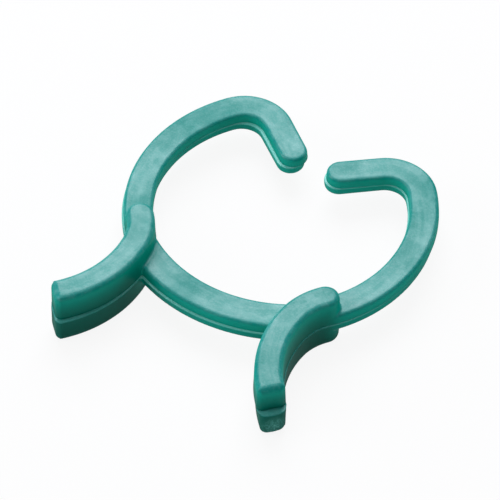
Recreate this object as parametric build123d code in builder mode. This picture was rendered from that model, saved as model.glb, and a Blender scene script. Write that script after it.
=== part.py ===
from build123d import *
import os
from math import acos, asin, atan2, cos, degrees, radians, sin, tan

# Sizes of the ring's band, in millimetres
ring_radius = 14.5
band_width = 3.0
band_height = 2.1
edge_round = 0.45
edge_chamfer = 0.3
draft_angle = 1.5

# Angles of the ring arm about the ring's centre, up to the jaw and down to the lever
arm_rise_angle = 38.7
arm_drop_angle = 41.6

# Sizes of the jaw, which turns in and ends in a round prong
jaw_radius = 3.7
jaw_turn_angle = 89.0
jaw_gap = 2.7

# Round ejector marks on the underside of the jaws
mark_radius = 0.8
mark_depth = 0.12

# Sizes of the finger lever, a curved pad taller than the band
lever_height = 6.0
lever_root_radius = 6.6
lever_root_angle = 35.4
lever_tip_radius = 11.75
lever_tip_angle = 52.3
root_land = 0.4
crotch_land = 0.2

# Sizes of the springy bow across the back
bow_width = 3.3
bow_reach = 14.5
bow_root_share = 0.5
flex_offset = 3.6
flex_face_radius = 2.0
flex_clearance = 0.03

# One overrun serves every cut
overrun = 1.0

# Levels of the moulding, which rests on the lower edges of its levers
part_line = lever_height / 2
half_width = band_width / 2


def side_lines(centre):
    """Centre lines of the right side: ring arm, jaw bend, prong, lever root and lever tip."""
    with BuildLine(Plane.XY.offset(part_line)):
        arm = CenterArc(centre, ring_radius, -arm_drop_angle, arm_drop_angle + arm_rise_angle)
        bend = JernArc(arm @ 1, arm % 1, jaw_radius, jaw_turn_angle)
        prong_reach = (bend @ 1).X - jaw_gap / 2 - half_width
        prong = PolarLine(bend @ 1, prong_reach, direction=bend % 1, length_mode=LengthMode.HORIZONTAL)
        root = JernArc(arm @ 0, -(arm % 0), lever_root_radius, lever_root_angle)
        tip = JernArc(root @ 1, root % 1, lever_tip_radius, lever_tip_angle)
    return arm, bend, prong, root, tip


# The ring's centre is placed so that the clip's box is centred on the origin
arm, bend, prong, root, tip = side_lines((0, 0))
jaw_top = (ring_radius - jaw_radius) * sin(radians(arm_rise_angle)) + jaw_radius + half_width
tip_across = (tip % 1).cross(Vector(0, 0, 1)) * half_width
lever_low = min((tip @ 1 + tip_across).Y, (tip @ 1 - tip_across).Y)
ring_centre = (0, -(jaw_top + lever_low) / 2)
arm, bend, prong, root, tip = side_lines(ring_centre)

# The bow's centre line runs through the middle of both lever roots and its own reach
bow_root = root @ bow_root_share
bow_low = ring_centre[1] - bow_reach
bow_sagitta = bow_root.Y - bow_low
bow_radius = (bow_root.X**2 + bow_sagitta**2) / (2 * bow_sagitta)
bow_centre = (0, bow_low + bow_radius)
root_angle = degrees(asin(bow_root.X / bow_radius))

# The bow's root ends clear of the crotch, where its outer edge leaves the lever's wall
bow_edge = bow_radius + bow_width / 2
lever_wall = lever_tip_radius + half_width
to_lever = tip.arc_center - Vector(*bow_centre, part_line)
crotch_turn = acos((bow_edge**2 + to_lever.length**2 - lever_wall**2) / (2 * bow_edge * to_lever.length))
crotch_angle = 90 + degrees(atan2(to_lever.Y, to_lever.X) - crotch_turn)
root_end_angle = crotch_angle - degrees(crotch_land / bow_radius)
flex_angle = degrees(asin(flex_offset / bow_radius))
flex_axis = (bow_radius * sin(radians(flex_angle)), bow_centre[1] - bow_radius * cos(radians(flex_angle)))
flex_reach_angle = degrees((flex_face_radius + overrun) / bow_radius)

# The lever's tip is drawn past its cut end, and the jaw's bar past its start
with BuildLine(Plane.XY.offset(part_line)):
    tip_run = JernArc(root @ 1, root % 1, lever_tip_radius, lever_tip_angle + degrees(overrun / lever_tip_radius))
overrun_angle = degrees(overrun / ring_radius)

# The lever's round upper end takes up this much of the ring arm
land_angle = degrees((half_width + root_land) / ring_radius)


def bow_line(start_angle, end_angle):
    """Stretch of the bow's centre line, with angles counted from its middle."""
    with BuildLine(Plane.XY.offset(part_line)):
        line = CenterArc(bow_centre, bow_radius, start_angle - 90, end_angle - start_angle)
    return line


def arm_line(start_angle, end_angle):
    """Stretch of the ring arm's centre line, with angles about the ring's centre."""
    with BuildLine(Plane.XY.offset(part_line)):
        line = CenterArc(ring_centre, ring_radius, start_angle, end_angle - start_angle)
    return line


def cross_plane(point, direction):
    """Plane square to a centre line, its X across the band and its Y upwards."""
    return Plane(origin=point, x_dir=direction.cross(Vector(0, 0, 1)), z_dir=-direction)


def band_along(line, width):
    """Upper half of a band along a centre line, widest at the parting line, with its edges broken."""
    lean = band_height / 2 * tan(radians(draft_angle))
    with BuildPart() as stretch:
        with BuildSketch(cross_plane(line @ 0, line % 0)) as section:
            with BuildLine():
                Polyline(
                    (-width / 2, 0),
                    (lean - width / 2, band_height / 2),
                    (width / 2 - lean, band_height / 2),
                    (width / 2, 0),
                    close=True,
                )
            make_face()
            chamfer(section.vertices().group_by(Axis.Y)[-1], edge_chamfer)
        sweep(path=line)
    return stretch.part


def round_ended(lines, height):
    """Upper half of a drafted bar with round ends about a chain of centre lines."""
    with BuildPart() as bar:
        with BuildSketch(Plane.XY.offset(part_line)):
            with BuildLine():
                add(lines)
                offset(amount=half_width)
            make_face()
        extrude(amount=height / 2, taper=draft_angle)
    return bar.part


# The mould parts at mid height, so every piece is built above that plane and mirrored there
mould_face = Plane.XY.offset(part_line)

# Ring arm, the curved side of the grip ring between lever and jaw
with BuildPart() as right_ring_arm:
    add(band_along(arm_line(land_angle - arm_drop_angle, arm_rise_angle).edge(), band_width))
    mirror(about=mould_face)

# Jaw, the tight bend and the straight prong with its round tip
with BuildPart() as right_jaw:
    add(round_ended([arm_line(arm_rise_angle - overrun_angle, arm_rise_angle).edge(), bend, prong], band_height))
    chamfer(right_jaw.edges().group_by(Axis.Z)[-1], edge_chamfer)
    split(bisect_by=Plane(origin=bend @ 0, z_dir=bend % 0))
    mirror(about=mould_face)
    with Locations(Plane(origin=prong @ 0).offset(-band_height / 2)):
        Cylinder(mark_radius, 2 * mark_depth, mode=Mode.SUBTRACT)

# Finger lever with the roots of the ring arm and of the bow that grow out of it
with BuildPart() as right_finger_lever:
    add(round_ended([root, tip_run], lever_height))
    split(bisect_by=Plane(origin=tip @ 1, z_dir=-(tip % 1)))
    fillet(right_finger_lever.edges().group_by(Axis.Z)[-1], edge_round)
    add(band_along(arm_line(-arm_drop_angle, land_angle - arm_drop_angle).edge(), band_width))
    add(band_along(bow_line(root_end_angle, root_angle).edge(), bow_width))
    mirror(about=mould_face)

# Bow end, which turns about the flex axis with the lever and has a round face there
with BuildPart() as flex_face:
    add(band_along(bow_line(flex_angle - flex_reach_angle, flex_angle).edge(), bow_width))
    with Locations((*flex_axis, part_line)):
        Cylinder(flex_face_radius, band_height + overrun, mode=Mode.INTERSECT)
with BuildPart() as right_bow_end:
    add(band_along(bow_line(flex_angle, root_end_angle).edge(), bow_width))
    add(flex_face.part)
    mirror(about=mould_face)

# Middle of the bow, which stays still while both sides flex about its hollow ends
with BuildPart() as bow_middle:
    add(band_along(bow_line(-flex_angle, flex_angle).edge(), bow_width))
    with Locations((*flex_axis, part_line), (-flex_axis[0], flex_axis[1], part_line)):
        Cylinder(flex_face_radius + flex_clearance, band_height + overrun, mode=Mode.SUBTRACT)
    mirror(about=mould_face)

# The left side is the right side mirrored
with BuildPart() as left_ring_arm:
    mirror(right_ring_arm.part, about=Plane.YZ)
with BuildPart() as left_jaw:
    mirror(right_jaw.part, about=Plane.YZ)
with BuildPart() as left_finger_lever:
    mirror(right_finger_lever.part, about=Plane.YZ)
with BuildPart() as left_bow_end:
    mirror(right_bow_end.part, about=Plane.YZ)

os.makedirs("parts", exist_ok=True)

bow_middle.part.label = "bow_middle"
export_step(bow_middle.part, "parts/bow_middle.step")
left_bow_end.part.label = "left_bow_end"
export_step(left_bow_end.part, "parts/left_bow_end.step")
right_bow_end.part.label = "right_bow_end"
export_step(right_bow_end.part, "parts/right_bow_end.step")
left_finger_lever.part.label = "left_finger_lever"
export_step(left_finger_lever.part, "parts/left_finger_lever.step")
right_finger_lever.part.label = "right_finger_lever"
export_step(right_finger_lever.part, "parts/right_finger_lever.step")
left_ring_arm.part.label = "left_ring_arm"
export_step(left_ring_arm.part, "parts/left_ring_arm.step")
right_ring_arm.part.label = "right_ring_arm"
export_step(right_ring_arm.part, "parts/right_ring_arm.step")
left_jaw.part.label = "left_jaw"
export_step(left_jaw.part, "parts/left_jaw.step")
right_jaw.part.label = "right_jaw"
export_step(right_jaw.part, "parts/right_jaw.step")
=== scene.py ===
from math import asin, cos, hypot, pi, radians, sin, tan

import bmesh
import bpy
import numpy as np
from bmesh.types import BMEdge, BMVert
from bpy.props import FloatProperty, FloatVectorProperty, PointerProperty
from mathutils import Matrix, Vector
from mathutils.kdtree import KDTree


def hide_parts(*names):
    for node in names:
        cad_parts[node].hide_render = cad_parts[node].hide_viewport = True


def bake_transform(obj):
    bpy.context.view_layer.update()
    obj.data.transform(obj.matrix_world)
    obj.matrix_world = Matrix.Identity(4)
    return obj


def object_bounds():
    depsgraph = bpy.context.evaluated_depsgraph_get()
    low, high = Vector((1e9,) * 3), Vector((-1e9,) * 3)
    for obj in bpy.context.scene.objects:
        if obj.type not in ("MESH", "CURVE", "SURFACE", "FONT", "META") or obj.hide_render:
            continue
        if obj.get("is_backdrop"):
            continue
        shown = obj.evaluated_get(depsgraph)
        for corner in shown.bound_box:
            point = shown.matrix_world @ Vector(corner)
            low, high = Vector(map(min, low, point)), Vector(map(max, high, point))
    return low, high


bl_info = {
    "name": "Orchid Clip",
    "version": (1, 0, 0),
    "blender": (4, 5, 0),
    "location": "3D View > Sidebar > Orchid Clip",
    "description": "Builds the moulded halves of a springy orchid clip and its studio stage",
    "category": "Object",
}

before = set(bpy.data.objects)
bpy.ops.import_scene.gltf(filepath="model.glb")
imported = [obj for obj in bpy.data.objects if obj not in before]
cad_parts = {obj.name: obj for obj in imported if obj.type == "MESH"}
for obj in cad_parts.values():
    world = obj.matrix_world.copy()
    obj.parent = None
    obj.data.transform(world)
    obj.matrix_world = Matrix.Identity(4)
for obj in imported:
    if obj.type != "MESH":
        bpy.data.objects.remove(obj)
cad_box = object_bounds()

# The clip is worked out in millimetres, and its finished mesh is in metres
MM = 0.001

# Places closer than TOUCH count as one, and no cut leaves a sliver thinner than SLIVER
TOUCH = 1e-4
SLIVER = 1e-5

UP = Vector((0, 0, 1))


def size(name, description, millimetres):
    """A length in the sidebar, given here in millimetres."""
    return FloatProperty(
        name=name, description=description, default=millimetres * MM, unit="LENGTH", precision=6
    )


def turn(name, description, angle):
    """An angle in the sidebar, given here in degrees."""
    return FloatProperty(name=name, description=description, default=radians(angle), subtype="ANGLE")


def share(name, description, default):
    """A share from 0 to 1 in the sidebar."""
    return FloatProperty(
        name=name, description=description, subtype="FACTOR", min=0, max=1, default=default
    )


def colour(name, description, default):
    """A colour in the sidebar."""
    return FloatVectorProperty(
        name=name, description=description, subtype="COLOR", size=3, min=0, max=1, default=default
    )


class ClipSizes(bpy.types.PropertyGroup):
    """Sizes of the moulding"""

    ring_radius: size("Ring radius", "Radius of the grip ring's centre line", 14.5)
    band_width: size("Band width", "Width of the ring's band and of the levers", 3.0)
    band_height: size("Band height", "Height of the ring's band and of the bow", 2.1)
    arm_rise: turn("Arm rise", "Ring arm's end at the jaw, about the ring's centre", 38.7)
    arm_drop: turn("Arm drop", "Ring arm's start at the lever, about the ring's centre", 41.6)
    jaw_radius: size("Jaw radius", "Radius of the jaw's bend", 3.7)
    jaw_turn: turn("Jaw turn", "How far the jaw turns in", 89.0)
    jaw_gap: size("Jaw gap", "Gap between the tips of the prongs", 2.7)
    lever_height: size("Lever height", "Height of the finger levers", 6.0)
    lever_root_radius: size("Lever root radius", "Radius of the lever's upper stretch", 6.6)
    lever_root_turn: turn("Lever root turn", "Turn of the lever's upper stretch", 35.4)
    lever_tip_radius: size("Lever tip radius", "Radius of the lever's lower stretch", 11.75)
    lever_tip_turn: turn("Lever tip turn", "Turn of the lever's lower stretch", 52.3)
    bow_width: size("Bow width", "Width of the springy bow", 3.3)
    bow_reach: size("Bow reach", "Bow's distance behind the ring's centre", 14.5)
    flex_start: size("Flex start", "Where the bow starts to bend, beside its middle", 0.2)
    flex_run: size("Flex run", "Length of the bow that bends", 6.9)
    draft: turn("Draft", "Lean of the walls away from the parting line", 1.5)
    edge_round: size("Edge rounding", "Rounding of the ring's and the bow's edges", 0.38)
    lever_round: size("Lever rounding", "Rounding of the levers' upper edges", 0.55)
    low_round: size("Lower rounding", "Rounding of the levers' lower edges", 0.75)
    end_round: size("End rounding", "Rounding of the levers' cut ends", 0.65)
    nose_round: size("Nose rounding", "Rounding of the upper edge at the levers' cut ends", 0.8)
    hollow_round: size("Hollow rounding", "Rounding in the corners where levers meet the ring", 0.55)
    mark_radius: size("Mark radius", "Radius of the ejector marks", 0.8)
    mark_depth: size("Mark depth", "Depth of the ejector marks", 0.12)
    mould_slip: size("Mould slip", "How far the lower mould half is out of line", 0.24)
    mould_turn: turn("Mould turn", "How far the lower mould half is turned", 0.65)
    flash: size("Flash", "Fine ridge where the mould halves meet", 0.035)
    lip: size("Lip", "Height of the rounded lip on the lower half", 0.17)
    tip_inset: size("Tip inset", "How much the lower half draws in at the right lever's tip", 0.36)
    tip_step: size("Tip step", "Step between the halves at the end of the right lever's tip", 0.6)
    # A pale patch on the lower half at the right lever's tip
    gate_radius: size("Gate mark radius", "Radius of the pale scuff where the gate was cut off", 1.5)
    grid: size("Mesh grid", "Spacing of the finished mesh", 0.12)


class ClipLooks(bpy.types.PropertyGroup):
    """Colours and finish of the moulding and its stage"""

    green: colour("Plastic", "Flat faces of the polypropylene", (0.003, 0.27, 0.235))
    dull_green: colour("Dull patches", "Duller patches on the flat faces", (0.002, 0.235, 0.20))
    # Pale flecks: partly flow streaks in the plastic, partly painted sheen
    pale_green: colour("Pale streaks", "Flow streaks in the plastic", (0.1, 0.38, 0.35))
    # Painted shade: the walls' colour where little light would seep in
    deep_green: colour("Deep green", "Walls, away from the light of the flat faces", (0.001, 0.12, 0.085))
    # Painted glow: the walls' colour where most light would seep in
    lit_green: colour("Lit green", "Walls where light seeps through the plastic", (0.0, 0.47, 0.35))
    # A pale flash with a painted highlight on the ledge at the parting line; also the pale patch at the right
    # lever's tip
    ridge_green: colour("Pale ridge", "Ridge at the parting line, and gate scuff", (0.22, 0.78, 0.67))
    satin: share("Satin roughness", "Roughness of the flat faces", 0.36)
    polish: share("Wall roughness", "Roughness of the drafted walls", 0.3)
    gloss_rough: share("Gloss roughness", "Roughness of the clear gloss", 0.32)
    flat_gloss: share("Flat gloss", "Strength of the clear gloss on the flat faces", 1.0)
    wall_gloss: share("Wall gloss", "Strength of the clear gloss on the drafted walls", 0.15)
    relief: share("Relief", "Strength of the fine relief of pits and mottling", 0.6)
    relief_depth: size("Relief depth", "Depth of the fine relief of pits and mottling", 0.04)
    paper: colour("Paper", "Colour of the floor's paper", (0.8, 0.8, 0.8))


class Shade:
    """A socket of a material, so that shader maths reads as plain sums."""

    def __init__(self, tree, socket=None):
        self.tree = tree
        self.socket = socket

    def node(self, kind, values=(), output=0, **settings):
        """A node of this kind, with its settings first and then its inputs' values or links."""
        made = self.tree.nodes.new(kind)
        for name, value in settings.items():
            setattr(made, name, value)
        for name, value in values.items() if isinstance(values, dict) else enumerate(values):
            if isinstance(value, Shade):
                self.tree.links.new(value.socket, made.inputs[name])
            else:
                made.inputs[name].default_value = value
        return Shade(self.tree, made.outputs[output] if made.outputs else None)

    def beside(self, output):
        """Another output of the same node."""
        return Shade(self.tree, self.socket.node.outputs[output])

    def maths(self, operation, *values):
        """A Math node on these values."""
        return self.node("ShaderNodeMath", values, operation=operation)

    def __add__(self, other):
        return self.maths("ADD", self, other)

    __radd__ = __add__

    def __mul__(self, other):
        return self.maths("MULTIPLY", self, other)

    __rmul__ = __mul__

    def __sub__(self, other):
        return self.maths("SUBTRACT", self, other)

    def __rsub__(self, other):
        return self.maths("SUBTRACT", other, self)

    def __abs__(self):
        return self.maths("ABSOLUTE", self)

    def most(self, other):
        """The larger of this value and the other."""
        return self.maths("MAXIMUM", self, other)

    def between(self, low, high):
        """A smooth mask that rises from 0 at low to 1 at high."""
        return self.node(
            "ShaderNodeMapRange", (self, low, high, 0.0, 1.0), interpolation_type="SMOOTHSTEP", clamp=True
        )

    def blend(self, first, second):
        """The first colour where this mask is 0 and the second where it is 1."""
        return self.node("ShaderNodeMix", {0: self, 6: first, 7: second}, output=2, data_type="RGBA")

    def cover(self):
        """Ends the material in this shader."""
        self.node("ShaderNodeOutputMaterial", {"Surface": self})


def new_material(name):
    """An empty material, and a first shade whose node method makes its nodes."""
    material = bpy.data.materials.new(name)
    material.use_nodes = True
    material.node_tree.nodes.clear()
    return material, Shade(material.node_tree)


def noted(start, name, output="Fac"):
    """What the mesh notes at its vertices under this name."""
    return start.node("ShaderNodeAttribute", output=output, attribute_name=name)


def patches(place, scale, detail, roughness, distortion=0.0):
    """A cloudy pattern from 0 to 1, with about this many patches to the metre."""
    return place.node(
        "ShaderNodeTexNoise",
        {"Vector": place, "Scale": scale, "Detail": detail, "Roughness": roughness, "Distortion": distortion},
    )


# Patches to the metre in each pattern of the plastic, from broad clouds to fine grain
CLOUDS = 130.0
STREAKS = 900.0
MOTTLES = 950.0
PITS = 3600.0
GRAINS = 4200.0

# The streaks are drawn out along the flow, and drift a little with their place
FLOW_STRETCH = (0.14, 1.0, 0.5)
DRIFT = (0.12, 0.12, 0.12)

# Refractive index of polypropylene
PLASTIC_INDEX = 1.49


def flow_streaks(place):
    """Streaks that follow the way the plastic flowed through the mould."""
    drift = place.node("ShaderNodeVectorMath", (place, DRIFT), operation="MULTIPLY")
    way = (noted(place, "flow", "Vector"), FLOW_STRETCH, drift)
    flowing = place.node("ShaderNodeVectorMath", way, operation="MULTIPLY_ADD")
    return patches(flowing, STREAKS, 3.0, 0.6, distortion=0.4)


def flat_colour(looks, cloud, streak, mottle, grain):
    """Green with broad dull patches and pale flecks on the flat faces; the flecks are partly flow streaks and
    partly painted sheen.
    """
    dull, green, pale = ((*tint, 1) for tint in (looks.dull_green, looks.green, looks.pale_green))
    # Pale flecks, partly flow streaks and partly painted sheen
    streaks = streak.between(0.42, 0.72) * 0.35
    mottles = mottle.between(0.4, 0.7) * 0.28
    grains = grain.between(0.45, 0.7) * 0.25
    return (streaks + mottles + grains).blend(cloud.between(0.36, 0.66).blend(dull, green), pale)


def skin_colour(looks, level, face, cloud, grain):
    """The faces' colour; walls in painted shade with a painted glow where light would seep to them; a pale
    ridge with a painted highlight; and a pale patch at the right lever's tip.
    """
    shaded, lit, pale = ((*tint, 1) for tint in (looks.deep_green, looks.lit_green, looks.ridge_green))
    # Walls: painted shade that turns to a painted glow where light would seep in
    seep = noted(level, "seep")
    wall = (seep * (0.8 + 0.4 * cloud)).blend(shaded, lit)
    # The ridge: a pale flash with a painted highlight, stronger where the painted glow is
    ridge_with_highlight = (noted(level, "ridge") * (0.2 + 0.8 * seep)).blend(level.blend(wall, face), pale)
    # A pale patch on the lower half at the right lever's tip
    return (noted(level, "scuff") * (0.2 + 0.6 * grain.between(0.4, 0.75))).blend(ridge_with_highlight, pale)


def moulded_plastic(looks):
    """Satin green polypropylene: mottled satin flats, and walls in painted shade with a painted glow under
    their upper edges.
    """
    material, start = new_material("moulded_polypropylene")
    place = start.node("ShaderNodeTexCoord", output="Object")
    upright = abs(place.node("ShaderNodeSeparateXYZ", (place.beside("Normal"),), output="Z"))
    flat = upright.between(0.42, 0.92)
    # Flat faces take their own colour, and walls take the painted shade and glow
    level = upright.between(0.0, 0.85)
    cloud = patches(place, CLOUDS, 2.0, 0.5)
    streak = flow_streaks(place)
    mottle = patches(place, MOTTLES, 3.0, 0.62)
    grain = patches(place, GRAINS, 3.0, 0.62)
    pits = place.node("ShaderNodeTexVoronoi", {"Vector": place, "Scale": PITS}, feature="SMOOTH_F1")
    face = flat_colour(looks, cloud, streak, mottle, grain)
    rough = looks.polish + (looks.satin - looks.polish) * flat + (grain - 0.5) * 0.12 + (cloud - 0.5) * 0.1
    height = (grain - 0.5) * (0.35 + 0.65 * flat) + (pits - 0.5) * 0.25 * flat
    height = height + (mottle - 0.5) * 1.1 + (cloud - 0.5) * 1.2
    bump = {"Strength": looks.relief, "Distance": looks.relief_depth, "Height": height}
    patchy = 0.45 + 0.25 * mottle.between(0.35, 0.65) + 0.3 * streak.between(0.3, 0.7)
    sheen = 0.22 + 0.78 * cloud.between(0.36, 0.6) * patchy
    surface = start.node("ShaderNodeBsdfPrincipled", {
        "Base Color": skin_colour(looks, level, face, cloud, grain),
        "Roughness": rough,
        "IOR": PLASTIC_INDEX,
        "Specular IOR Level": 0.0,
        "Coat Weight": looks.wall_gloss + (looks.flat_gloss - looks.wall_gloss) * flat * sheen,
        "Coat Roughness": looks.gloss_rough,
        "Normal": start.node("ShaderNodeBump", bump),
    })
    surface.cover()
    return material


# Share of the paper's white that is its own glow, to the camera and in reflections
PAPER_GLOW = 0.9


def floor_paper(looks):
    """Pale studio paper that reads as white to the camera and keeps a soft shadow."""
    material, start = new_material("studio_paper")
    seen = start.node("ShaderNodeLightPath", output="Is Camera Ray")
    viewed = seen.most(seen.beside("Is Glossy Ray")).most(seen.beside("Is Transmission Ray"))
    paper = start.node("ShaderNodeBsdfDiffuse", {"Color": (*looks.paper, 1)})
    glow = start.node("ShaderNodeEmission", {"Color": (1, 1, 1, 1)})
    start.node("ShaderNodeMixShader", (viewed * PAPER_GLOW, paper, glow)).cover()
    return material


class Pen:
    """A place and a heading in plan, in millimetres, that follow a centre line."""

    def __init__(self, x, y, heading):
        self.x, self.y, self.heading = x, y, heading

    def arc(self, radius, angle):
        """Follows an arc, to the left for a positive angle and else to the right; returns its centre."""
        side = 1 if angle > 0 else -1
        cx = self.x - side * radius * sin(self.heading)
        cy = self.y + side * radius * cos(self.heading)
        dx, dy = self.x - cx, self.y - cy
        self.x = cx + dx * cos(angle) - dy * sin(angle)
        self.y = cy + dx * sin(angle) + dy * cos(angle)
        self.heading += angle
        return cx, cy

    def straight(self, length):
        """Follows a straight line."""
        self.x += length * cos(self.heading)
        self.y += length * sin(self.heading)

    def reversed(self):
        """The same place, looking back."""
        return Pen(self.x, self.y, self.heading + pi)

    def along(self):
        """The heading as a vector."""
        return Vector((cos(self.heading), sin(self.heading), 0))

    def across(self):
        """The direction to the right of the heading as a vector."""
        return Vector((sin(self.heading), -cos(self.heading), 0))


class Plan:
    """The clip's centre lines in millimetres, from the sidebar's sizes and the CAD box."""

    def __init__(self, sizes):
        for name in sizes.__annotations__:
            value = getattr(sizes, name)
            is_length = sizes.bl_rna.properties[name].unit == "LENGTH"
            setattr(self, name, value / MM if is_length else value)
        half = self.band_width / 2
        jaw_top = (self.ring_radius - self.jaw_radius) * sin(self.arm_rise) + self.jaw_radius + half
        self.centre_y = cad_box[1].y / MM - jaw_top
        self.middle = self.lever_height / 2
        root = self.arm_start().reversed()
        root.arc(self.lever_root_radius, self.lever_root_turn / 2)
        self.bow_low = self.centre_y - self.bow_reach
        sagitta = root.y - self.bow_low
        self.bow_radius = (root.x**2 + sagitta**2) / (2 * sagitta)
        self.bow_turn = asin(root.x / self.bow_radius)

    def arm_start(self):
        """Start of the right ring arm, inside the lever, heading for the jaw."""
        x = self.ring_radius * cos(self.arm_drop)
        y = self.centre_y - self.ring_radius * sin(self.arm_drop)
        return Pen(x, y, pi / 2 - self.arm_drop)

    def prong_start(self):
        """Start of the right prong, where the jaw's bend ends."""
        pen = self.arm_start()
        pen.arc(self.ring_radius, self.arm_drop + self.arm_rise)
        pen.arc(self.jaw_radius, self.jaw_turn)
        return pen

    def prong_length(self):
        """Length of the straight prong, from the jaw's bend to the centre of its round tip."""
        pen = self.prong_start()
        return (pen.x - self.jaw_gap / 2 - self.band_width / 2) / -cos(pen.heading)

    def lever_end(self):
        """Cut end of the right lever, looking back up the lever."""
        pen = self.arm_start().reversed()
        pen.arc(self.lever_root_radius, self.lever_root_turn)
        pen.arc(self.lever_tip_radius, self.lever_tip_turn)
        return pen.reversed()

    def bow_start(self, before):
        """Start of the right half of the bow, this angle before the bow's middle."""
        pen = Pen(0, self.bow_low, 0).reversed()
        pen.arc(self.bow_radius, -before)
        return pen.reversed()

    def arm_runs(self):
        """Radius and angle of the ring arm and of the jaw's bend, and the prong, which has no radius."""
        arm = (self.ring_radius, self.arm_drop + self.arm_rise)
        return arm, (self.jaw_radius, self.jaw_turn), (None, self.prong_length())

    def lever_runs(self):
        """Radius and angle of the lever's two stretches, from its cut end up."""
        return (self.lever_tip_radius, -self.lever_tip_turn), (self.lever_root_radius, -self.lever_root_turn)


# Longest step of an arc in millimetres, and the fewest steps in an arc
ARC_STEP = 0.35
FEWEST_STEPS = 4

# Steps in a round end, a rounded corner and an eased edge
END_STEPS = 16
CORNER_STEPS = 6
EASE_STEPS = 4


def only(kind, geometry):
    """The elements of one kind in what a mesh operator made."""
    return [g for g in geometry if isinstance(g, kind)]


class Bar:
    """A moulded bar made by carrying its rounded section along a pen's line."""

    def __init__(self, plan, pen, width, height, upper_round, lower_round):
        self.pen = pen
        self.bm = bmesh.new()
        self.draw_section(width, height, height / 2 * tan(plan.draft), upper_round, lower_round)
        along = pen.along()
        across = along.cross(UP)
        place = Matrix((
            (across.x, 0, -along.x, pen.x),
            (across.y, 0, -along.y, pen.y),
            (0, 1, 0, plan.middle),
            (0, 0, 0, 1),
        ))
        bmesh.ops.transform(self.bm, matrix=place, verts=self.bm.verts[:])
        self.start = [e for e in self.bm.edges if e.is_boundary]
        self.rim = self.start

    def draw_section(self, width, height, lean, upper_round, lower_round):
        """Draws the section flat, with rounded corners, and widest at mid height, where the mould parts."""
        made = bmesh.ops.create_grid(self.bm, x_segments=1, y_segments=1, size=0.5)
        bmesh.ops.scale(self.bm, vec=(width - 2 * lean, height, 1), verts=made["verts"])
        upper = [v for v in made["verts"] if v.co.y > 0]
        lower = [v for v in made["verts"] if v.co.y < 0]
        for corners, offset in ((upper, upper_round), (lower, lower_round)):
            bmesh.ops.bevel(
                self.bm, geom=corners, offset=offset, offset_type="OFFSET", affect="VERTICES",
                segments=CORNER_STEPS, profile=0.5, material=-1,
            )
        self.halve_edges(axis=1)
        for vertex in self.halve_edges(axis=0):
            vertex.co.x *= width / (width - 2 * lean)
            vertex.co.y = 0

    def halve_edges(self, axis):
        """Halves the edges that keep to one x for axis 0, or one y for axis 1; returns their middles."""
        even = [e for e in self.bm.edges if abs(e.verts[0].co[axis] - e.verts[1].co[axis]) < SLIVER]
        return only(BMVert, bmesh.ops.subdivide_edges(self.bm, edges=even, cuts=1)["geom_inner"])

    def follow(self, runs):
        """Carries the rim along runs, each of them an arc or, with no radius, a straight."""
        for radius, extent in runs:
            if radius is None:
                self.straight(extent)
            else:
                self.arc(radius, extent)

    def arc(self, radius, angle):
        """Carries the rim round an arc."""
        cx, cy = self.pen.arc(radius, angle)
        made = bmesh.ops.spin(
            self.bm, geom=self.rim, cent=(cx, cy, 0), axis=UP, angle=angle,
            steps=max(FEWEST_STEPS, int(abs(angle) * radius / ARC_STEP)), use_duplicate=False,
        )
        self.rim = only(BMEdge, made["geom_last"])

    def straight(self, length):
        """Carries the rim straight on."""
        made = bmesh.ops.extrude_edge_only(self.bm, edges=self.rim)["geom"]
        vec = (length * cos(self.pen.heading), length * sin(self.pen.heading), 0)
        bmesh.ops.translate(self.bm, vec=vec, verts=only(BMVert, made))
        self.rim = [e for e in only(BMEdge, made) if e.is_boundary]
        self.pen.straight(length)

    def square_end(self):
        """Closes the rim with a flat face."""
        bmesh.ops.contextual_create(self.bm, geom=self.rim)

    def round_end(self):
        """Closes the bar by turning one side of the rim half round onto the other side."""
        across = self.pen.across()
        at = Vector((self.pen.x, self.pen.y, 0))
        side = [e for e in self.rim if sum((v.co - at).dot(across) for v in e.verts) > SLIVER]
        bmesh.ops.spin(
            self.bm, geom=side, cent=at, axis=UP, angle=pi, steps=END_STEPS, use_duplicate=False
        )
        bmesh.ops.remove_doubles(self.bm, verts=self.bm.verts[:], dist=TOUCH)

    def ease_start(self, offset):
        """Rounds the edges of the bar's square start."""
        bmesh.ops.bevel(
            self.bm, geom=self.start, offset=offset, offset_type="OFFSET", affect="EDGES",
            segments=EASE_STEPS, profile=0.5, material=-1,
        )

    def add_to(self, whole):
        """Joins the finished bar to the whole mesh."""
        bmesh.ops.recalc_face_normals(self.bm, faces=self.bm.faces[:])
        mesh = bpy.data.meshes.new("bar")
        self.bm.to_mesh(mesh)
        whole.from_mesh(mesh)
        self.bm.free()
        bpy.data.meshes.remove(mesh)


# The bow's bar starts this angle before the middle, where the skin is cut afterwards
BOW_OVERLAP = 0.08


def right_bars(plan):
    """The right half's ring arm with its jaw, its lever and its part of the bow, which overlap."""
    whole = bmesh.new()
    band = (plan.band_height, plan.edge_round, plan.edge_round)
    arm = Bar(plan, plan.arm_start(), plan.band_width, *band)
    arm.follow(plan.arm_runs())
    arm.round_end()
    arm.add_to(whole)
    lever = Bar(plan, plan.lever_end(), plan.band_width, plan.lever_height, plan.lever_round, plan.low_round)
    lever.follow(plan.lever_runs())
    lever.round_end()
    lever.ease_start(plan.end_round)
    lever.add_to(whole)
    bow = Bar(plan, plan.bow_start(BOW_OVERLAP), plan.bow_width, *band)
    bow.arc(plan.bow_radius, BOW_OVERLAP + plan.bow_turn)
    bow.square_end()
    bow.add_to(whole)
    return whole


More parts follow.
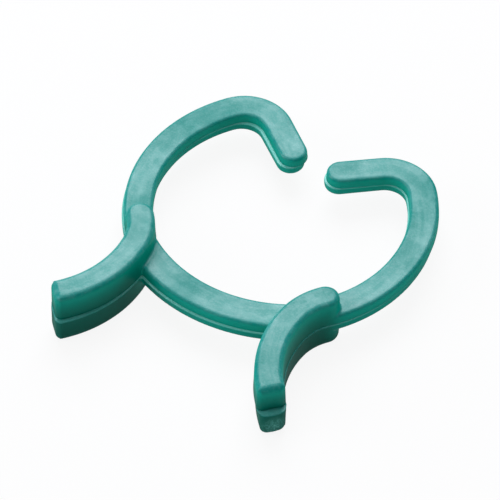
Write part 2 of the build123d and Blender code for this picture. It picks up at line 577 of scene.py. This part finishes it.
def one_skin(whole, plan):
    """Merges the overlapping bars into one skin of even faces."""
    mesh = bpy.data.meshes.new("half")
    whole.to_mesh(mesh)
    whole.free()
    made = bpy.data.objects.new("half", mesh)
    bpy.context.scene.collection.objects.link(made)
    remesh = made.modifiers.new("one skin", "REMESH")
    remesh.mode = "VOXEL"
    remesh.voxel_size = plan.grid
    remesh.adaptivity = 0
    evaluated = made.evaluated_get(bpy.context.evaluated_depsgraph_get())
    skin = bpy.data.meshes.new_from_object(evaluated)
    bpy.data.objects.remove(made)
    bpy.data.meshes.remove(mesh)
    return skin


class Skin:
    """The vertices and edges of a mesh as arrays."""

    def __init__(self, mesh):
        self.mesh = mesh
        self.points = np.zeros((len(mesh.vertices), 3))
        mesh.vertices.foreach_get("co", self.points.ravel())
        self.ends = np.zeros((len(mesh.edges), 2), int)
        mesh.edges.foreach_get("vertices", self.ends.ravel())
        self.count = np.bincount(self.ends.ravel(), minlength=len(self.points))

    def around(self, values):
        """Mean of each vertex's neighbours, for one column of values or several."""
        if values.ndim == 2:
            return np.stack([self.around(column) for column in values.T], axis=1)
        first, second = self.ends.T
        after = np.bincount(first, values[second], len(values))
        before = np.bincount(second, values[first], len(values))
        return (after + before) / self.count

    def normals(self):
        """Vertex normals of the points as they are now."""
        self.mesh.vertices.foreach_set("co", self.points.ravel())
        self.mesh.update()
        facing = np.zeros((len(self.points), 3))
        self.mesh.vertices.foreach_get("normal", facing.ravel())
        return facing


# Hollows are filled in small steps, with fresh normals every few rounds, and a hollow that is
# tighter than the limit comes to its full step over FILL_EASE times the limit
FILL_ROUNDS = 90
FILL_STEP = 0.6
FILL_EASE = 3
FRESH_NORMALS = 5

# Each round of evening out shrinks the skin by a step and swells it again by the next
EVEN_ROUNDS = 6
EVEN_STEPS = (0.5, -0.52)


def soften(skin, plan):
    """Fills hollows that are tighter than a moulded corner, then evens the skin out."""
    limit = plan.grid**2 / (2 * plan.hollow_round)
    for count in range(FILL_ROUNDS):
        if count % FRESH_NORMALS == 0:
            facing = skin.normals()
        move = skin.around(skin.points) - skin.points
        hollow = (move * facing).sum(1)
        part = np.clip((hollow - limit) / (FILL_EASE * limit), 0, 1)
        skin.points += FILL_STEP * part[:, None] * move
    for step in EVEN_STEPS * EVEN_ROUNDS:
        skin.points += step * (skin.around(skin.points) - skin.points)


def round_nose(skin, plan):
    """Rounds the upper edge over at the lever's cut end."""
    tip = plan.lever_end()
    along = np.array((cos(tip.heading), sin(tip.heading)))
    near = np.hypot(skin.points[:, 0] - tip.x, skin.points[:, 1] - tip.y) < plan.band_width
    inward = plan.nose_round - (skin.points[:, :2] - (tip.x, tip.y)) @ along
    upward = skin.points[:, 2] - (plan.lever_height - plan.nose_round)
    reach = np.hypot(inward, upward)
    over = near & (inward > 0) & (upward > 0) & (reach > plan.nose_round)
    pulled = (1 - plan.nose_round / reach[over])[:, None]
    skin.points[over, :2] += pulled * inward[over, None] * along
    skin.points[over, 2:] -= pulled * upward[over, None]


# Painted glow: light is taken to enter where a face is flat enough, and less of it from below, where the face
# is off the table
FACING_GAIN = 3
FACING_START = 1.6
LIGHT_BELOW = 0.5
TABLE_GAP = 0.5

# The painted glow spreads through the skin in rounds, and this power lifts its faint reaches
SEEP_ROUNDS = 240
SEEP_POWER = 0.6


def paint_seeping_light(skin):
    """Notes a painted glow: how much light would reach each place through the plastic, from the flat tops and
    undersides.
    """
    facing = skin.normals()[:, 2] * FACING_GAIN
    raised = np.clip(skin.points[:, 2] - TABLE_GAP, 0, 1)
    above = np.clip(facing - FACING_START, 0, 1)
    below = np.clip(-facing - FACING_START, 0, 1)
    lit = above + LIGHT_BELOW * raised * below
    seep = lit
    for count in range(SEEP_ROUNDS):
        seep = np.maximum(lit, skin.around(seep))
    layer = skin.mesh.attributes.new("seep", "FLOAT", "POINT")
    layer.data.foreach_set("value", seep**SEEP_POWER)


def flow_marks(plan):
    """Marks along the right half's centre lines: place, heading and way from the line's start."""
    bow_runs = ((plan.bow_radius, plan.bow_turn),)
    lines = (
        (Pen(0, plan.bow_low, 0), bow_runs),
        (plan.arm_start(), plan.arm_runs()),
        (plan.lever_end(), plan.lever_runs()),
    )
    marks = []
    for pen, runs in lines:
        way = 0
        for radius, extent in runs:
            length = extent if radius is None else abs(extent) * radius
            steps = int(length / plan.grid)
            for step in range(steps):
                marks.append((pen.x, pen.y, pen.heading, way))
                if radius is None:
                    pen.straight(extent / steps)
                else:
                    pen.arc(radius, extent / steps)
                way += length / steps
    return marks


def note_flow(skin, plan):
    """Notes the way along the nearest centre line, the distance beside it and the height."""
    marks = flow_marks(plan)
    tree = KDTree(len(marks))
    for index, mark in enumerate(marks):
        tree.insert((mark[0], mark[1], 0), index)
    tree.balance()
    nearest = np.array([marks[tree.find((x, y, 0))[1]] for x, y, z in skin.points])
    away = skin.points[:, :2] - nearest[:, :2]
    ahead = np.stack((np.cos(nearest[:, 2]), np.sin(nearest[:, 2])), axis=1)
    along = nearest[:, 3] + (away * ahead).sum(1)
    beside = away[:, 0] * ahead[:, 1] - away[:, 1] * ahead[:, 0]
    layer = skin.mesh.attributes.new("flow", "FLOAT_VECTOR", "POINT")
    layer.data.foreach_set("vector", (np.stack((along, beside, skin.points[:, 2]), axis=1) * MM).ravel())


def cut(half, place, direction, clear_inner=False):
    """Cuts the whole mesh along a plane."""
    bmesh.ops.bisect_plane(
        half, geom=half.verts[:] + half.edges[:] + half.faces[:], dist=SLIVER,
        plane_co=place, plane_no=direction, clear_inner=clear_inner,
    )


# Place of the lower ejector mark, as an angle up the ring arm from its start
MARK_TURN = 0.32

# Shares of a mark's radius that its sloping rim and its middle bump take, and the bump's share of its depth
MARK_RIM = 0.12
BUMP_REACH = 0.35
BUMP_RISE = 0.35

# A mark takes what is this near to the underside's height, on a mesh made finer to this many of its radii
MARK_LEVEL = 0.12
MARK_MARGIN = 1.25


def mark_places(plan):
    """Plan places of the right half's ejector marks: at the prong's start and up the ring arm."""
    low = plan.arm_start()
    low.arc(plan.ring_radius, MARK_TURN)
    return [Vector((pen.x, pen.y)) for pen in (plan.prong_start(), low)]


def press_marks(half, plan):
    """Presses the round ejector marks, each with a slight bump in its middle, into the underside."""
    low = plan.middle - plan.band_height / 2
    for centre in mark_places(plan):
        near = [
            f for f in half.faces
            if abs(f.calc_center_median().z - low) < MARK_LEVEL
            and (f.calc_center_median().xy - centre).length < plan.mark_radius * MARK_MARGIN
        ]
        edges = list({e for f in near for e in f.edges})
        bmesh.ops.subdivide_edges(half, edges=edges, cuts=1, use_grid_fill=True)
        for vertex in [v for v in half.verts if abs(v.co.z - low) <= MARK_LEVEL]:
            out = (vertex.co.xy - centre).length / plan.mark_radius
            rise = min(1, max(0, (1 - out) / MARK_RIM))
            bump = BUMP_RISE * max(0, 1 - out / BUMP_REACH)
            vertex.co.z += plan.mark_depth * (rise - bump)


# A vertex is on a wall where this much of its normal lies in plan
WALL_FACING = 0.5

# The lower half takes this share of its slip at once, and the rest down the lip
LIP_START = 0.7

# How far from the right lever's tip its inset and step fade out, and each half's share of the step
TIP_REACH = 4.5
LOWER_STEP = 0.6
UPPER_STEP = 0.4

# Bias of the inset towards the lever's outer side, and how far the pale patch's centre is below the parting
# line, as a share of the lever's height
INSET_BIAS = 0.3
PATCH_DROP = 0.3


# Mean strength of the flash, and how fast it wavers across and along the clip, in radians to the millimetre
FLASH_MEAN = 0.6
WAVE_ACROSS = 0.9
WAVE_ALONG = 0.7

# Least strength of the pale ridge, and the rise of its painted highlight for each millimetre that the slipped
# half stands out
RIDGE_LEAST = 0.3
RIDGE_RISE = 4


def flash_wave(place):
    """How strong the flash is at a place, as it wavers along the parting line."""
    wave = sin(place.x * WAVE_ACROSS + 1) * cos(place.y * WAVE_ALONG)
    return FLASH_MEAN + (1 - FLASH_MEAN) * wave


def slipped_share(level, plan):
    """Share of its slip that the lower half takes at a level, which is 0 at the parting line."""
    if level >= -TOUCH:
        return 0
    return min(1, LIP_START + (1 - LIP_START) * (TOUCH - level) / plan.lip)


def ridge_highlight_strength(slip, out):
    """How pale the ridge is: a faint pale flash, with a painted highlight most where the slipped half stands
    out beyond the upper one.
    """
    return RIDGE_LEAST + (1 - RIDGE_LEAST) * min(1, max(0, RIDGE_RISE * slip.dot(out)))


def part_mould(half, plan):
    """Cuts the skin at the parting line, with a flash, a slipped lower half and a step at the right lever's
    tip.
    """
    for level in (plan.flash, 0, -plan.flash, -plan.lip):
        cut(half, (0, 0, plan.middle + level), UP)
    half.normal_update()
    ridge = half.verts.layers.float.new("ridge")
    scuff = half.verts.layers.float.new("scuff")
    tip = plan.lever_end()
    along, across = tip.along(), tip.across()
    patch_centre = Vector((tip.x, tip.y, plan.middle - PATCH_DROP * plan.lever_height))
    for vertex in half.verts:
        level = vertex.co.z - plan.middle
        depth = slipped_share(level, plan)
        out = Vector((vertex.normal.x, vertex.normal.y, 0))
        on_wall = out.length > WALL_FACING
        near_tip = max(0, 1 - hypot(vertex.co.x - tip.x, vertex.co.y - tip.y) / TIP_REACH)
        if abs(level) < TOUCH and on_wall:
            vertex.co += out.normalized() * plan.flash * flash_wave(vertex.co)
        slip = Vector((-vertex.co.y, vertex.co.x, 0)) * plan.mould_turn - Vector((0, plan.mould_slip, 0))
        # Painted highlight on the ledge at the parting line, over a faint pale flash
        if TOUCH - plan.lip < level < TOUCH and on_wall:
            vertex[ridge] = ridge_highlight_strength(slip, out)
        # Pale patch on the lower half at the right lever's tip
        vertex[scuff] = depth * max(0, 1 - (vertex.co - patch_centre).length / plan.gate_radius)
        aside = (vertex.co - Vector((tip.x, tip.y, 0))).dot(across)
        step = LOWER_STEP * depth if level < TOUCH else -UPPER_STEP
        vertex.co += slip * depth
        vertex.co -= across * (plan.tip_inset * depth * near_tip * (aside / plan.band_width + INSET_BIAS))
        vertex.co -= along * (plan.tip_step * near_tip * step)


def cut_half(mesh, side, plan):
    """The skin cut off at the clip's middle, with its ejector marks, and mirrored for the left side."""
    half = bmesh.new()
    half.from_mesh(mesh)
    cut(half, (0, 0, 0), (1, 0, 0), clear_inner=True)
    press_marks(half, plan)
    if side == "left":
        bmesh.ops.scale(half, vec=(-1, 1, 1), verts=half.verts[:])
        bmesh.ops.reverse_faces(half, faces=half.faces[:])
    return half


# The flash's edges lie within this many of its heights from the parting line, and keep level within this
FLASH_REACH = 1.3
LEVEL_WITHIN = 1e-3


def close_half(half, plan):
    """Caps the cut, shades the skin smooth, and keeps the cap's rim and the flash's edges crisp."""
    rim = [e for e in half.edges if e.is_boundary]
    for face in half.faces:
        face.smooth = True
    for face in bmesh.ops.holes_fill(half, edges=rim, sides=0)["faces"]:
        face.smooth = False
    for edge in rim:
        edge.smooth = False
    for edge in half.edges:
        levels = [abs(v.co.z - plan.middle) for v in edge.verts]
        if max(levels) < plan.flash * FLASH_REACH and abs(levels[0] - levels[1]) < LEVEL_WITHIN:
            edge.smooth = False


def finished_half(half, side, material):
    """Makes the half an object that stands for its CAD nodes, which it hides."""
    bmesh.ops.recalc_face_normals(half, faces=half.faces[:])
    bmesh.ops.scale(half, vec=(MM, MM, MM), verts=half.verts[:])
    name = side + "_half"
    mesh = bpy.data.meshes.new(name)
    half.to_mesh(mesh)
    half.free()
    mesh.materials.append(material)
    made = bpy.data.objects.new(name, mesh)
    bpy.context.scene.collection.objects.link(made)
    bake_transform(made)
    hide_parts("bow_middle", *(side + "_" + n for n in ("bow_end", "finger_lever", "ring_arm", "jaw")))


class CLIP_OT_halves(bpy.types.Operator):
    """Makes the two halves of the moulding, which meet in the middle of the bow"""

    bl_idname = "orchid_clip.halves"
    bl_label = "Moulded halves"

    def execute(self, context):
        plan = Plan(context.scene.clip_sizes)
        material = moulded_plastic(context.scene.clip_looks)
        mesh = one_skin(right_bars(plan), plan)
        skin = Skin(mesh)
        soften(skin, plan)
        round_nose(skin, plan)
        paint_seeping_light(skin)
        note_flow(skin, plan)
        for side in ("right", "left"):
            half = cut_half(mesh, side, plan)
            part_mould(half, plan)
            close_half(half, plan)
            finished_half(half, side, material)
        bpy.data.meshes.remove(mesh)
        return {"FINISHED"}


# The camera's direction from the clip, and its distance and its nearest sight in metres
CAMERA_AZIMUTH = radians(31)
CAMERA_ELEVATION = radians(48.5)
CAMERA_REACH = 0.56
NEAREST_SEEN = 0.01

# The camera's long lens and its sensor, in millimetres
CAMERA_LENS = 400
SENSOR_WIDTH = 36

# Half the width of the floor and the distance of the light panels, in metres
FLOOR_REACH = 3
PANEL_REACH = 0.5

# How much the left panel's direction rises, the panels' cool white and the strength of the even light
LEFT_RISE = 0.5
PANEL_COLOUR = (0.97, 0.98, 1.05)
WORLD_LIGHT = 0.17


def studio_floor(scene, looks):
    """The paper that the clip lies on."""
    bm = bmesh.new()
    bmesh.ops.create_grid(bm, x_segments=1, y_segments=1, size=FLOOR_REACH)
    mesh = bpy.data.meshes.new("floor")
    bm.to_mesh(mesh)
    bm.free()
    mesh.materials.append(floor_paper(looks))
    floor = bpy.data.objects.new("floor", mesh)
    scene.collection.objects.link(floor)
    floor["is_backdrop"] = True


def aimed(scene, name, data, location, axis, direction):
    """An object for a camera or a lamp, with one of its axes turned along a direction."""
    holder = bpy.data.objects.new(name, data)
    holder.location = location
    holder.rotation_mode = "QUATERNION"
    holder.rotation_quaternion = direction.to_track_quat(axis, "Y")
    scene.collection.objects.link(holder)
    return holder


def studio_camera(scene, target, direction):
    """The camera, which stands in a direction from the clip and looks at it."""
    camera = bpy.data.cameras.new("camera")
    camera.lens = CAMERA_LENS
    camera.sensor_width = SENSOR_WIDTH
    camera.clip_start = NEAREST_SEEN
    scene.camera = aimed(scene, "camera", camera, target + direction * CAMERA_REACH, "-Z", -direction)


def studio_panel(scene, name, target, direction, width, power):
    """A square soft light that faces the clip."""
    light = bpy.data.lights.new(name, "AREA")
    light.shape = "SQUARE"
    light.size = width
    light.energy = power
    light.color = PANEL_COLOUR
    aimed(scene, name, light, target + direction.normalized() * PANEL_REACH, "Z", direction)


def studio_world(scene):
    """A faint even light from all round."""
    world = bpy.data.worlds.new("studio")
    world.use_nodes = True
    sockets = world.node_tree.nodes["Background"].inputs
    sockets["Color"].default_value = (1, 1, 1, 1)
    sockets["Strength"].default_value = WORLD_LIGHT
    scene.world = world


class CLIP_OT_stage(bpy.types.Operator):
    """Makes the floor, the studio light and the camera"""

    bl_idname = "orchid_clip.stage"
    bl_label = "Stage"

    def execute(self, context):
        scene = context.scene
        studio_floor(scene, scene.clip_looks)
        low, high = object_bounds()
        middle = (low + high) / 2
        away = Vector((-sin(CAMERA_AZIMUTH), cos(CAMERA_AZIMUTH), 0)) * cos(CAMERA_ELEVATION)
        rise = UP * sin(CAMERA_ELEVATION)
        left = Vector((-cos(CAMERA_AZIMUTH), -sin(CAMERA_AZIMUTH), LEFT_RISE))
        studio_camera(scene, middle, rise - away)
        studio_panel(scene, "back panel", middle, away + rise, width=0.4, power=2.7)
        studio_panel(scene, "top panel", middle, UP, width=0.3, power=0.4)
        studio_panel(scene, "left panel", middle, left, width=0.3, power=0.9)
        studio_world(scene)
        scene.view_settings.view_transform = "Standard"
        return {"FINISHED"}


class CLIP_PT_sidebar(bpy.types.Panel):
    """Lists the clip's sizes, looks and operators"""

    bl_idname = "CLIP_PT_sidebar"
    bl_label = "Orchid Clip"
    bl_space_type = "VIEW_3D"
    bl_region_type = "UI"
    bl_category = "Orchid Clip"

    def draw(self, context):
        for title, group in (("Sizes", context.scene.clip_sizes), ("Looks", context.scene.clip_looks)):
            box = self.layout.box()
            box.label(text=title)
            for name in group.__annotations__:
                box.prop(group, name)
        self.layout.operator(CLIP_OT_halves.bl_idname)
        self.layout.operator(CLIP_OT_stage.bl_idname)


CLASSES = (ClipSizes, ClipLooks, CLIP_OT_halves, CLIP_OT_stage, CLIP_PT_sidebar)


def register():
    """Registers the classes and hangs the settings on the scene."""
    for cls in CLASSES:
        bpy.utils.register_class(cls)
    bpy.types.Scene.clip_sizes = PointerProperty(type=ClipSizes)
    bpy.types.Scene.clip_looks = PointerProperty(type=ClipLooks)


def unregister():
    """Takes the settings and the classes away again."""
    del bpy.types.Scene.clip_looks
    del bpy.types.Scene.clip_sizes
    for cls in reversed(CLASSES):
        bpy.utils.unregister_class(cls)


def main():
    """Builds the clip and its stage."""
    register()
    bpy.ops.orchid_clip.halves()
    bpy.ops.orchid_clip.stage()


if __name__ == "__main__":
    main()
